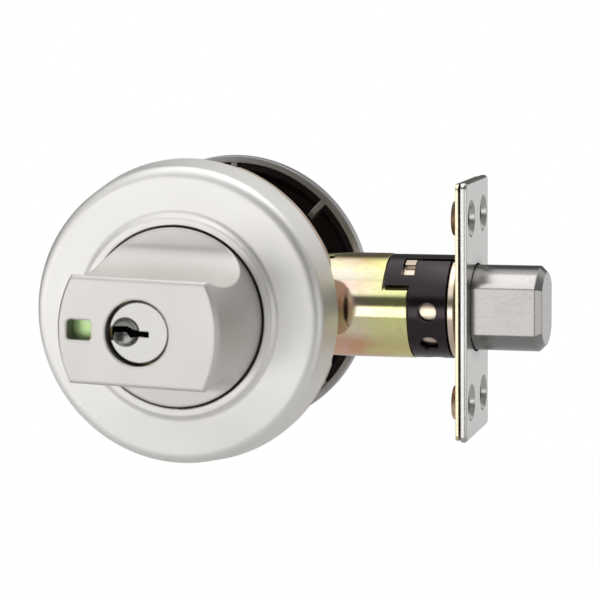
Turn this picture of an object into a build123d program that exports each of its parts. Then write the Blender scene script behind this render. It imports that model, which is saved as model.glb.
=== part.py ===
from build123d import *
import os
from math import cos, radians, sin, sqrt

os.makedirs("parts", exist_ok=True)

# Deadbolt door lock, millimetres.
# Origin: where the turning axis (Y) crosses the bolt axis (X), in the middle of the door.
# +X is the way the bolt is thrown, -Y is the room side, +Y the street side, +Z is up.

# Gaps that many pieces share
FIT = 0.05
RUNNING = 0.06
PRESS = 0.02
JOINT_GAP = 0.3

# Door and bolt
DOOR_THICKNESS = 32.0
DOOR_IN = -DOOR_THICKNESS / 2
DOOR_OUT = DOOR_THICKNESS / 2
BACKSET = 60.0
THROW = 15.0
BOLT_PROJECTION = 15.25
BOLT_TIP = BACKSET + BOLT_PROJECTION
BOLT_R = 9.3
BOLT_FLAT = 7.8
BOLT_REAR = 46.8
BOLT_CHAMFER = 1.4
BOLT_CLEARANCE = 0.35
HARD_PIN_R = 2.0
HARD_PIN_LENGTH = 23.0
HARD_PIN_PLACES = [(-4.6, 4.0), (4.6, 4.0)]

# Bolt tail: a bar from the bolt's slot to the fork round the drive pin
DRIVE_R = THROW / sqrt(2)
DRIVE_PIN_R = 1.5
TAIL_T = 3.0
TAIL_SLOT_X = 55.5
TAIL_SLOT_H = 12.0
TAIL_UPPER = 3.0
TAIL_LOWER = -7.0
TAIL_TOP = -4.3
TAIL_BOTTOM = -9.3
TAIL_BEND = (30.0, 34.0, 36.0, 33.5)
FORK_X = DRIVE_R * sin(radians(45))
FORK_HALF = 2.0
FORK_WALL = 2.0
FORK_BOTTOM = -11.6
FORK_TOP = -5.8
TAIL_RIVET_R = 1.25
TAIL_RIVET_HALF = 6.5
TAIL_RIVET_PLACES = [(51.5, -1.0), (51.5, -5.0)]

# Faceplate on the door's edge
FACEPLATE_H = 56.0
FACEPLATE_W = 25.0
FACEPLATE_T = 1.3
FACEPLATE_CORNER = 1.3
FACEPLATE_BEVEL = 0.45
SHADOW_GAP = 0.5
SHADOW_INSET = 2.4
BACK_PLATE_T = 0.7
BACK_PLATE_MARGIN = 0.3
PLATE_X = BACKSET - FACEPLATE_T - SHADOW_GAP
PLATE_BACK = PLATE_X - BACK_PLATE_T
SCREW_SPACING_Y = 13.5
SCREW_SPACING_Z = 40.0
SCREW_HOLE_R = 2.15
COUNTERSINK_R = 4.0
COUNTERSINK_FLOOR_R = 2.9
DIMPLE_R = 4.6
DIMPLE_TOP_R = 3.6
DIMPLE_DEPTH = 1.3

# Bolt tubes
TUBE_R = 11.45
TUBE_BORE_R = 10.5
TUBE_REAR = 27.0
TUBE_LIP_OUTER = 22.0
TUBE_LIP_INNER = 29.5
TUBE_HOLE_R = 0.75
TUBE_HOLE_PLACE = (71.0, 28.3)
FRONT_TUBE_R = 10.1
FRONT_TUBE_BORE_R = 9.45
FRONT_TUBE_REAR = 38.0
BEAD_R = 11.1
BEAD_EDGE_R = 10.75
BEAD_EDGE = 0.4
SLEEVE_R = 11.3
SLEEVE_LOW_X = 46.9
SLEEVE_HIGH_X = 41.4
SLEEVE_FRONT_X = 55.05
SLEEVE_STEP_ANGLE = 30.0
SLIT_ANGLE = 70.5
SLIT_W = 1.3
WINDOW_ANGLE = 58.2
WINDOW_SIZE = (2.9, 5.9)
WINDOW_X = 46.25
TAB_ANGLE = 66.5
TAB_SIZE = (2.4, 2.0)
TAB_TOP_R = 10.95
SLEEVE_HOLE_R = 2.05
SLEEVE_HOLE_X = 51.1
SLEEVE_HOLE_PITCH = 40.0
SLEEVE_HOLE_COUNT = 5

# Case and bolt hub
CHEEK_IN = 6.0
CHEEK_T = 1.0
CHEEK_H = 8.8
CHEEK_CORNER = 3.5
CASE_REAR = -13.0
CASE_SHOULDER = 26.5
CASE_FRONT = 31.0
CASE_TONGUE = 7.2
RIVET_R = 1.5
RIVET_SHOULDER_R = 2.2
RIVET_HEAD_R = 2.4
RIVET_HEAD_T = 0.6
RIVET_PLACES = [(-9.5, 6.2), (14.5, 6.2), (22.5, 6.2)]
TRUNNION_R = 5.5
HUB_CORE_R = 3.9
HUB_R = 5.4
HUB_SIDE = CHEEK_IN - 0.1
HUB_END = 7.3
ARM_IN = 1.9
ARM_OUT = 3.4
ARM_TIP_R = 2.6
BLADE_W = 2.4
BLADE_H = 6.0
BLADE_END = 1.0
BLADE_GAP = 0.1
BLADE_ROOM_END = -20.4
POCKET_R = 3.6
POCKET_FLOOR = 2.2
LUG_HALF = 1.0
LUG_INNER = 1.6
DETENT_FLAT = 4.3
LEAF_T = 0.45
LEAF_W = 1.9
LEAF_END = 3.5
LEAF_REST = DETENT_FLAT + FIT
LEAF_SIDE = CHEEK_IN - 0.4
LEAF_LINE = [
    (-11.0, LEAF_END),
    (-8.0, LEAF_END),
    (-4.8, LEAF_REST),
    (4.8, LEAF_REST),
    (9.0, LEAF_END),
    (16.0, LEAF_END),
]

# Key cylinders, depths measured from the plug's face
PLUG_RECESS = 1.2
PLUG_R = 6.5
PLUG_LENGTH = 25.5
PLUG_HOLE_R = 6.85
PLUG_BEVEL = 0.3
BARREL_R = 8.2
BARREL_START = 2.4
BARREL_END = 24.0
TOWER_START = 2.6
TOWER_H = 14.8
TOWER_W = 7.2
TOWER_GAP = 0.2
PIN_COUNT = 5
PIN_PITCH = 4.0
FIRST_PIN = 5.0
PIN_R = 1.45
PIN_SINK = 0.2
CHAMBER_R = 1.5
SHEAR_GAP = 0.12
DRIVER_LENGTH = 2.8
SPRING_R = 1.4
SPRING_BORE_R = 1.0
COVER_T = 0.8
COVER_W = 5.2
CLIP_T = 0.8
CLIP_R = 7.6
CLIP_BORE_R = 5.5
CLIP_GROOVE_R = 5.45
CAM_R = 6.2
CAM_T = 1.5
CAM_DEPTH = PLUG_LENGTH + 0.1 + CAM_T
CAM_SCREWS = [(0, 3.8), (0, -3.8)]
CAM_SCREW_R = 0.9
CAM_SCREW_SINK_R = 1.7
CAM_SCREW_HEAD_R = 1.63
CAM_SCREW_LENGTH = 4.5
KEY_CUTS = (1.6, 2.6, 2.0, 3.0, 1.4)
KEYWAY = [
    (-6.8, 0.95),
    (-3.0, 0.95),
    (-1.4, 0.28),
    (2.2, 0.28),
    (2.2, -0.85),
    (0.0, -0.8),
    (-2.2, -1.25),
    (-3.15, -0.3),
    (-5.4, -0.3),
    (-5.4, -1.8),
    (-6.8, -1.8),
]
KEY_DIMPLE_X = -2.8
KEY_DIMPLE_R = 3.6
KEY_DIMPLE_LIFT = 2.0
HALF_BLADE = (4.4, 2.2)
HALF_BLADE_X = -1.1
HALF_BLADE_LENGTH = 7.1

# Turn knob
KNOB_LEAN = 2.0
LEAN = radians(KNOB_LEAN)
KNOB_RIGHT = (cos(LEAN), 0, -sin(LEAN))
KNOB_BASE_R = 19.3
KNOB_BACK = -23.8
KNOB_BASE_FRONT = -29.2
KNOB_SHOULDER = -52.6
KNOB_FACE = -53.7
KNOB_END_AXES = (17.45, 20.4)
KNOB_FACE_AXES = (16.75, 20.8)
SCOOP_DEEPEST = (-42.5, 9.3)
SCOOP_FRONT = (-55.0, 12.25)
SCOOP_ROOT_Z = 15.8
SCOOP_REACH = 30.0
KNOB_FILLET = 0.8
KNOB_RECESS_R = 15.6
KNOB_RECESS_FRONT = -28.45
PLUG_FACE = KNOB_FACE + PLUG_RECESS

# Indicator slide behind its window in the knob
INDICATOR_X = -12.5
INDICATOR_W = 5.3
INDICATOR_H = 4.2
INDICATOR_CORNER = 0.8
FLAG_LEFT = -15.2
FLAG_W = 5.8
FLAG_H = 4.8
FLAG_T = 0.3
FLAG_FRONT = -49.5
FLAG_BODY_FRONT = FLAG_FRONT + FLAG_T
FLAG_BODY_BACK = -48.0
POCKET_FRONT = FLAG_FRONT - 0.1
POCKET_X = -12.3
POCKET_SIZE = (6.1, 15.0)
CRANK = FLAG_H / 2
CAM_PIN_R = 1.0
CAM_PIN_LENGTH = 1.4
LEG_SIZE = (2.2, 4.0)
FOOT_LEFT = -11.6
FOOT_SIZE = (10.7, 4.8)
FOOT_T = 1.1
FOOT_BACK = -24.1
FOOT_SLOT_LEFT = -4.75
FOOT_SLOT_SIZE = (5.0, 2 * CAM_PIN_R + 0.6)

# Knob hub, its neck, bush and fixings
HUB_DISC_R = 18.9
HUB_DISC_BACK = -21.8
HUB_SCREW_RADIUS = 17.35
HUB_SCREW_R = 0.95
HUB_SCREW_ANGLES = (90, 210, 330)
HUB_SCREW_LENGTH = 5.8
BOSS_R = 11.5
BOSS_BACK = -19.6
NECK_R = 8.0
NECK_BACK = -14.2
GROOVE_R = 7.3
GROOVE_FRONT = -15.65
GROOVE_BACK = -14.85
RING_T = 0.7
RING_OPENING = 6.0
RING_OUTER_R = 9.8
TAIL_PIN_Y = -17.5
TAIL_PIN_R = 1.0
TAIL_PIN_HALF = 7.6
WASHER_T = 0.5
WASHER_BORE_R = 8.3
BUSH_R = 9.95
BUSH_FLANGE_R = 12.5
BUSH_FRONT = -19.0

# Inside rose and its mounting plate
ROSE_R = 33.2
ROSE_BACK = -18.0
ROSE_FACE = -27.55
ROSE_FACE_R = 31.85
ROSE_EDGE_FILLET = 2.4
ROSE_WALL = 1.1
ROSE_INSIDE = ROSE_FACE + ROSE_WALL + FIT
BOSS_RING_TOP = -28.7
BOSS_RING_R = 21.4
BOSS_RING_FOOT_R = 22.3
BOSS_RING_FILLET = 0.5
BOSS_RING_FOOT_FILLET = 1.2
KNOB_HOLE_R = 19.65
KNOB_HOLE_FILLET = 0.35
PLATE_FRONT = -17.9
PLATE_R = 33.15
PLATE_FLAT = 31.2
PLATE_BORE_R = 10.0
PLATE_RIM = (30.0, 31.1)
PLATE_RIM_H = 2.5

# Fixings through the door
FIXING_PLACES = [(0, 20.0), (0, -20.0)]
FIXING_R = 2.4
FIXING_HOLE_R = 2.75
FIXING_HEAD_R = 4.25
FIXING_HEAD_T = 3.0
FIXING_END = DOOR_OUT + 4
HEX_R = 2.2
HEX_DEPTH = 1.8

# Street side
OUTER_RIM_R = 31.45
OUTER_RIM_BORE_R = 30.0
OUTER_WALL_END = 19.0
OUTER_WALL_BORE_R = 29.6
OUTER_FACE = 27.2
OUTER_FACE_R = 28.4
OUTER_FACE_FILLET = 2.2
OUTER_NOSE = 38.0
OUTER_NOSE_R = 16.2
OUTER_NOSE_FOOT_R = 18.4
OUTER_NOSE_FILLET = 1.2
OUTER_FLOOR = 25.6
OUTER_FLOOR_R = 27.0
OUTER_SOCKET_R = 11.6
RIB_COUNT = 8
RIB_T = 1.3
RIB_FRONT = 17.0
RIB_INNER_R = 24.6
RIB_BEVEL = 1.5
POST_R = 4.2
POST_FRONT = 9.0
LINER_GAP = 0.2
LINER_FRONT = 17.4
LINER_BORE_R = 22.0
LINER_T = 1.2
RETAINER_Y = 20.0
RETAINER_T = 1.5
RETAINER_BACK = RETAINER_Y + RETAINER_T
RETAINER_FLAT = 7.4
RETAINER_SIZE = (34.0, 18.0)
RETAINER_DROP = -3.0
RETAINER_SLOT_FLOOR = -8.6
RETAINER_SCREW_PLACES = [(13.5, 0), (-13.5, 0)]
RETAINER_SCREW_R = 1.2
RETAINER_HOLE_R = 1.3
RETAINER_HEAD_R = 2.4
RETAINER_HEAD_T = 1.6
RETAINER_POST_R = 2.8
RETAINER_SCREW_END = 23.8
OUTER_PLUG_FACE = OUTER_NOSE - PLUG_RECESS
RETAINER_DEPTH = OUTER_PLUG_FACE - RETAINER_BACK


def save(piece, name):
    """Label a finished piece and write it."""
    piece.part.label = name
    export_step(piece.part, f"parts/{name}.step")


def outline(points, plane=Plane.XY):
    """A face with straight sides on the given plane."""
    with BuildSketch(plane) as drawn:
        with BuildLine():
            Polyline(*points, close=True)
        make_face()
    return drawn.sketch.face()


def discs(plane, places, radius):
    """Equal round faces at the given places on a plane."""
    with BuildSketch(plane) as drawn:
        with Locations(*places):
            Circle(radius)
    return drawn.sketch.faces()


def room_plane(y):
    """Upright plane at depth y that faces the room: X to the right, Z up."""
    return Plane(origin=(0, y, 0), x_dir=(1, 0, 0), z_dir=(0, -1, 0))


def knob_plane(y):
    """The same plane turned with the knob, which rests a little off level."""
    return Plane(origin=(0, y, 0), x_dir=KNOB_RIGHT, z_dir=(0, -1, 0))


def edge_plane(x):
    """Plane across the bolt: Y to the right, Z up."""
    return Plane.YZ.offset(x)


def radial_plane(angle):
    """Plane through the turning axis: radius to the right, depth Y up."""
    a = radians(angle)
    return Plane(origin=(0, 0, 0), x_dir=(cos(a), 0, sin(a)), z_dir=(-sin(a), 0, cos(a)))


def tube_plane(angle, x):
    """Plane that faces out of the bolt tube at an angle above the room side."""
    a = radians(angle)
    return Plane(origin=(x, 0, 0), x_dir=(1, 0, 0), z_dir=(0, -cos(a), sin(a)))


def tube_point(radius, angle):
    """Point of the bolt tube's section at an angle above the room side."""
    return (-radius * cos(radians(angle)), radius * sin(radians(angle)))


def tube_sector(from_angle, to_angle):
    """A wedge of the bolt tube's section, between two angles above the room side."""
    steps = 8
    turn = (to_angle - from_angle) / steps
    return [(0, 0)] + [tube_point(2 * TUBE_R, from_angle + turn * i) for i in range(steps + 1)]


def bolt_section(gap):
    """The bolt's round section with two flats, grown by a gap."""
    with BuildSketch(Plane.YZ) as drawn:
        Circle(BOLT_R + gap)
        Rectangle(2 * (BOLT_FLAT + gap), 3 * BOLT_R, mode=Mode.INTERSECT)
    return drawn.sketch.face()


screw_places = [
    (side_y * SCREW_SPACING_Y / 2, side_z * SCREW_SPACING_Z / 2) for side_y in (-1, 1) for side_z in (-1, 1)
]
hub_screw_places = [
    (HUB_SCREW_RADIUS * cos(radians(a)), HUB_SCREW_RADIUS * sin(radians(a))) for a in HUB_SCREW_ANGLES
]
drive_place = (FORK_X, -FORK_X)

# Faceplate: a bevelled plate with a stepped back, four countersunk holes and the bolt's opening
with BuildPart() as faceplate:
    with BuildSketch(edge_plane(BACKSET)):
        RectangleRounded(FACEPLATE_W, FACEPLATE_H, FACEPLATE_CORNER)
    extrude(amount=-FACEPLATE_T)
    chamfer(faceplate.faces().sort_by(Axis.X)[-1].edges(), FACEPLATE_BEVEL)
    with BuildSketch(edge_plane(PLATE_X)):
        RectangleRounded(FACEPLATE_W - 2 * SHADOW_INSET, FACEPLATE_H - 2 * SHADOW_INSET, FACEPLATE_CORNER)
    extrude(amount=SHADOW_GAP)
    opening = bolt_section(BOLT_CLEARANCE).moved(Location((PLATE_X, 0, 0)))
    extrude(opening, amount=2 * FACEPLATE_T, mode=Mode.SUBTRACT)
    with Locations(*[edge_plane(BACKSET).location * Location((y, z, 0)) for y, z in screw_places]):
        CounterSinkHole(COUNTERSINK_FLOOR_R, COUNTERSINK_R, depth=2 * FACEPLATE_T, counter_sink_angle=90)
save(faceplate, "faceplate")

# Back plate: thin plate with a pressed dimple behind each screw hole
with BuildPart() as back_plate:
    with BuildSketch(edge_plane(PLATE_X)):
        RectangleRounded(
            FACEPLATE_W - 2 * BACK_PLATE_MARGIN, FACEPLATE_H - 2 * BACK_PLATE_MARGIN, FACEPLATE_CORNER
        )
    extrude(amount=-BACK_PLATE_T)
    with Locations(*[Plane(origin=(PLATE_BACK, y, z), z_dir=(-1, 0, 0)) for y, z in screw_places]):
        Cone(DIMPLE_R, DIMPLE_TOP_R, DIMPLE_DEPTH, align=(Align.CENTER, Align.CENTER, Align.MIN))
    with BuildSketch(edge_plane(PLATE_X)):
        Circle(FRONT_TUBE_R + FIT)
    extrude(amount=-BACK_PLATE_T, mode=Mode.SUBTRACT)
    with Locations(*[edge_plane(PLATE_X).location * Location((y, z, 0)) for y, z in screw_places]):
        CounterSinkHole(SCREW_HOLE_R, COUNTERSINK_FLOOR_R, depth=4, counter_sink_angle=90)
save(back_plate, "back_plate")

# Rear bolt tube: cut back under the sleeve's tongue with a slanted lip, and pierced at its rear end
with BuildPart() as latch_tube:
    with BuildSketch(edge_plane(TUBE_REAR)):
        Circle(TUBE_R)
        Circle(TUBE_BORE_R, mode=Mode.SUBTRACT)
    extrude(amount=SLEEVE_LOW_X - JOINT_GAP - TUBE_REAR)
    inner_y, inner_z = tube_point(TUBE_BORE_R, TUBE_LIP_INNER)
    outer_y, outer_z = tube_point(TUBE_R, TUBE_LIP_OUTER)
    beyond_y, beyond_z = (2 * outer_y - inner_y, 2 * outer_z - inner_z)
    lip_cut = [
        (inner_y, inner_z),
        (beyond_y, beyond_z),
        (beyond_y, 2 * TUBE_R),
        (-beyond_y, 2 * TUBE_R),
        (-beyond_y, beyond_z),
        (-inner_y, inner_z),
    ]
    extrude(outline(lip_cut, edge_plane(SLEEVE_HIGH_X - JOINT_GAP)), amount=TUBE_R, mode=Mode.SUBTRACT)
    with BuildSketch(tube_plane(*TUBE_HOLE_PLACE)):
        Circle(TUBE_HOLE_R)
    extrude(amount=2 * TUBE_R, mode=Mode.SUBTRACT)
save(latch_tube, "latch_tube")

# Backset sleeve: a rolled black collar with a stepped rear edge, a window, a slit and a row of holes
with BuildPart() as backset_sleeve:
    with BuildSketch(edge_plane(SLEEVE_HIGH_X)):
        Circle(SLEEVE_R)
        Circle(TUBE_BORE_R, mode=Mode.SUBTRACT)
    extrude(amount=PLATE_BACK - 2 * FIT - SLEEVE_HIGH_X)
    low_cut = outline(
        tube_sector(180 - SLEEVE_STEP_ANGLE, 360 + SLEEVE_STEP_ANGLE), edge_plane(SLEEVE_HIGH_X)
    )
    extrude(low_cut, amount=SLEEVE_LOW_X - SLEEVE_HIGH_X, mode=Mode.SUBTRACT)
    front_cut = outline(tube_sector(180 - SLIT_ANGLE, 360 + SLIT_ANGLE), edge_plane(SLEEVE_FRONT_X))
    extrude(front_cut, amount=TUBE_R, mode=Mode.SUBTRACT)
    with BuildSketch(tube_plane(WINDOW_ANGLE, WINDOW_X)):
        Rectangle(*WINDOW_SIZE)
    extrude(amount=2 * TUBE_R, mode=Mode.SUBTRACT)
    with BuildSketch(tube_plane(SLIT_ANGLE, WINDOW_X)):
        Rectangle(2 * TUBE_R, SLIT_W, align=(Align.MIN, Align.CENTER))
    extrude(amount=2 * TUBE_R, mode=Mode.SUBTRACT)
    for turn in range(SLEEVE_HOLE_COUNT):
        with BuildSketch(tube_plane(-turn * SLEEVE_HOLE_PITCH, SLEEVE_HOLE_X)):
            Circle(SLEEVE_HOLE_R)
        extrude(amount=2 * TUBE_R, mode=Mode.SUBTRACT)
save(backset_sleeve, "backset_sleeve")

# Front bolt tube: slides in the sleeve, has a bead before the back plate and carries the stop tab
with BuildPart() as front_tube:
    bead_rear = SLEEVE_FRONT_X + 2 * FIT
    bead_front = PLATE_BACK - BEAD_EDGE
    tube_side = [
        (FRONT_TUBE_REAR, FRONT_TUBE_BORE_R),
        (PLATE_X - 2 * FIT, FRONT_TUBE_BORE_R),
        (PLATE_X - 2 * FIT, FRONT_TUBE_R),
        (bead_front, FRONT_TUBE_R),
        (bead_front, BEAD_EDGE_R),
        (bead_front - BEAD_EDGE, BEAD_R),
        (bead_rear + BEAD_EDGE, BEAD_R),
        (bead_rear, BEAD_EDGE_R),
        (bead_rear, FRONT_TUBE_R),
        (FRONT_TUBE_REAR + 3, FRONT_TUBE_R),
        (FRONT_TUBE_REAR + 2.5, TUBE_BORE_R - FIT),
        (FRONT_TUBE_REAR, TUBE_BORE_R - FIT),
    ]
    revolve(outline(tube_side), axis=Axis.X)
    with BuildSketch(edge_plane(SLEEVE_FRONT_X)):
        with BuildLine():
            Polyline(*tube_sector(SLIT_ANGLE - 3, 183 - SLIT_ANGLE), close=True)
        make_face()
        Circle(FRONT_TUBE_R, mode=Mode.SUBTRACT)
    extrude(amount=TUBE_R, mode=Mode.SUBTRACT)
    with BuildSketch(tube_plane(TAB_ANGLE, WINDOW_X).offset(FRONT_TUBE_BORE_R + FIT)):
        Rectangle(*TAB_SIZE)
    extrude(amount=TAB_TOP_R - FRONT_TUBE_BORE_R - FIT)
    with BuildSketch(edge_plane(FRONT_TUBE_REAR)):
        Circle(FRONT_TUBE_BORE_R)
    extrude(amount=PLATE_X - FRONT_TUBE_REAR, mode=Mode.SUBTRACT)
save(front_tube, "front_tube")

# Bolt: a round bar with two flats, slotted at the rear for its tail and drilled for the hard pins
with BuildPart() as bolt:
    extrude(bolt_section(0).moved(Location((BOLT_REAR, 0, 0))), amount=BOLT_TIP - BOLT_REAR)
    chamfer(bolt.faces().sort_by(Axis.X)[-1].edges(), BOLT_CHAMFER)
    with BuildSketch(edge_plane(BOLT_REAR)):
        with Locations((0, TAIL_TOP + TAIL_UPPER)):
            Rectangle(TAIL_T + 2 * FIT, TAIL_SLOT_H)
    extrude(amount=TAIL_SLOT_X - BOLT_REAR, mode=Mode.SUBTRACT)
    pin_holes = discs(edge_plane(BOLT_REAR), HARD_PIN_PLACES, HARD_PIN_R + PRESS)
    extrude(pin_holes, amount=HARD_PIN_LENGTH + 1, mode=Mode.SUBTRACT)
    rivet_holes = discs(room_plane(-2 * BOLT_FLAT), TAIL_RIVET_PLACES, TAIL_RIVET_R + PRESS)
    extrude(rivet_holes, amount=-4 * BOLT_FLAT, mode=Mode.SUBTRACT)
save(bolt, "bolt")

# Hard pins inside the bolt that turn under a saw blade
with BuildPart() as anti_saw_pins:
    extrude(discs(edge_plane(BOLT_REAR + 0.5), HARD_PIN_PLACES, HARD_PIN_R), amount=HARD_PIN_LENGTH)
save(anti_saw_pins, "anti_saw_pins")

# Rivets that hold the tail in the bolt's slot
with BuildPart() as tail_rivets:
    extrude(discs(room_plane(0), TAIL_RIVET_PLACES, TAIL_RIVET_R), amount=TAIL_RIVET_HALF, both=True)
save(tail_rivets, "tail_rivets")

# Bolt tail: a flat bar under the hub that ends in a fork round the drive pin
with BuildPart() as bolt_tail:
    rise_start, rise_end, drop_start, drop_end = TAIL_BEND
    tail_front = TAIL_SLOT_X - 2 * FIT
    bar = [
        (FORK_X - FORK_HALF - FORK_WALL, TAIL_TOP),
        (rise_start, TAIL_TOP),
        (rise_end, TAIL_UPPER),
        (tail_front, TAIL_UPPER),
        (tail_front, TAIL_LOWER),
        (drop_start, TAIL_LOWER),
        (drop_end, TAIL_BOTTOM),
        (FORK_X + FORK_HALF + 2.5 * FORK_WALL, TAIL_BOTTOM),
        (FORK_X + FORK_HALF + 1.5 * FORK_WALL, FORK_BOTTOM),
        (FORK_X + FORK_HALF, FORK_BOTTOM),
        (FORK_X + FORK_HALF, FORK_TOP),
        (FORK_X - FORK_HALF, FORK_TOP),
        (FORK_X - FORK_HALF, FORK_BOTTOM),
        (FORK_X - FORK_HALF - FORK_WALL, FORK_BOTTOM),
    ]
    extrude(outline(bar, room_plane(0)), amount=TAIL_T / 2, both=True)
    rivet_holes = discs(room_plane(-TAIL_T), TAIL_RIVET_PLACES, TAIL_RIVET_R + PRESS)
    extrude(rivet_holes, amount=-2 * TAIL_T, mode=Mode.SUBTRACT)
save(bolt_tail, "bolt_tail")


def case_cheek(name, inner_y):
    """One cheek plate, from its face at inner_y away from the room."""
    with BuildPart() as cheek:
        with BuildSketch(room_plane(inner_y)):
            with Locations((CASE_REAR, 0)):
                Rectangle(CASE_SHOULDER - CASE_REAR, 2 * CHEEK_H, align=(Align.MIN, Align.CENTER))
            with Locations((CASE_SHOULDER - 1, 0)):
                Rectangle(CASE_FRONT - CASE_SHOULDER + 1, 2 * CASE_TONGUE, align=(Align.MIN, Align.CENTER))
            Circle(TRUNNION_R + RUNNING, mode=Mode.SUBTRACT)
            with Locations(*RIVET_PLACES):
                Circle(RIVET_R + FIT, mode=Mode.SUBTRACT)
        extrude(amount=-CHEEK_T)
        fillet(cheek.edges().filter_by(Axis.Y).group_by(Axis.X)[0], CHEEK_CORNER)
    save(cheek, name)


# Case: two cheeks that plug into the rear tube and carry the hub between them
case_cheek("case_cheek_room_side", -CHEEK_IN - CHEEK_T)
case_cheek("case_cheek_street_side", CHEEK_IN)

# Shouldered rivets that space the cheeks
with BuildPart() as case_rivets:
    for radius, half in [(RIVET_SHOULDER_R, CHEEK_IN), (RIVET_R, CHEEK_IN + CHEEK_T)]:
        extrude(discs(room_plane(half), RIVET_PLACES, radius), amount=2 * half)
    for head_y in (-CHEEK_IN - CHEEK_T, CHEEK_IN + CHEEK_T + RIVET_HEAD_T):
        extrude(discs(room_plane(head_y), RIVET_PLACES, RIVET_HEAD_R), amount=RIVET_HEAD_T)
save(case_rivets, "case_rivets")

# Bolt hub: a spool with two arms, a blade slot from the room side and a lost-motion pocket
with BuildPart() as bolt_hub:
    spool = [
        (0, -HUB_END),
        (TRUNNION_R, -HUB_END),
        (TRUNNION_R, -HUB_SIDE),
        (HUB_R, -HUB_SIDE),
        (HUB_R, -ARM_IN),
        (HUB_CORE_R, -ARM_IN),
        (HUB_CORE_R, ARM_IN),
        (HUB_R, ARM_IN),
        (HUB_R, HUB_SIDE),
        (TRUNNION_R, HUB_SIDE),
        (TRUNNION_R, HUB_END),
        (0, HUB_END),
    ]
    revolve(outline(spool), axis=Axis.Y)
    for arm_y in (-ARM_IN, ARM_OUT):
        with BuildSketch(room_plane(arm_y)):
            with Locations((FORK_X / 2, -FORK_X / 2)):
                SlotCenterToCenter(DRIVE_R, 2 * ARM_TIP_R, rotation=-45)
            with Locations(drive_place):
                Circle(DRIVE_PIN_R + PRESS / 2, mode=Mode.SUBTRACT)
        extrude(amount=ARM_OUT - ARM_IN)
    with BuildSketch(room_plane(HUB_SIDE)):
        with Locations((0, DETENT_FLAT)):
            Rectangle(4 * HUB_R, 2 * HUB_R, align=(Align.CENTER, Align.MIN))
        with Locations((-DETENT_FLAT, 0)):
            Rectangle(2 * HUB_R, 4 * HUB_R, align=(Align.MAX, Align.CENTER))
    extrude(amount=HUB_SIDE - ARM_OUT, mode=Mode.SUBTRACT)
    with BuildSketch(room_plane(-HUB_END)):
        Rectangle(BLADE_W + BLADE_GAP, BLADE_H + BLADE_GAP)
    extrude(amount=-HUB_END - BLADE_END - 2 * BLADE_GAP, mode=Mode.SUBTRACT)
    with BuildSketch(room_plane(POCKET_FLOOR)):
        Circle(POCKET_R)
        with Locations((0, LUG_INNER)):
            Rectangle(2 * LUG_HALF, 2 * POCKET_R, align=(Align.CENTER, Align.MIN), mode=Mode.SUBTRACT)
    extrude(amount=-HUB_END, mode=Mode.SUBTRACT)
save(bolt_hub, "bolt_hub")

# Drive pin across the two arms
with BuildPart() as drive_pin:
    extrude(discs(room_plane(ARM_OUT), [drive_place], DRIVE_PIN_R), amount=2 * ARM_OUT)
save(drive_pin, "drive_pin")

# Detent spring: a leaf that lies on the hub's flat and holds it at either end of its turn
with BuildPart() as detent_spring:
    leaf = LEAF_LINE + [(x, z + LEAF_T) for x, z in reversed(LEAF_LINE)]
    extrude(outline(leaf, room_plane(LEAF_SIDE)), amount=LEAF_W)
save(detent_spring, "detent_spring")


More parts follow.
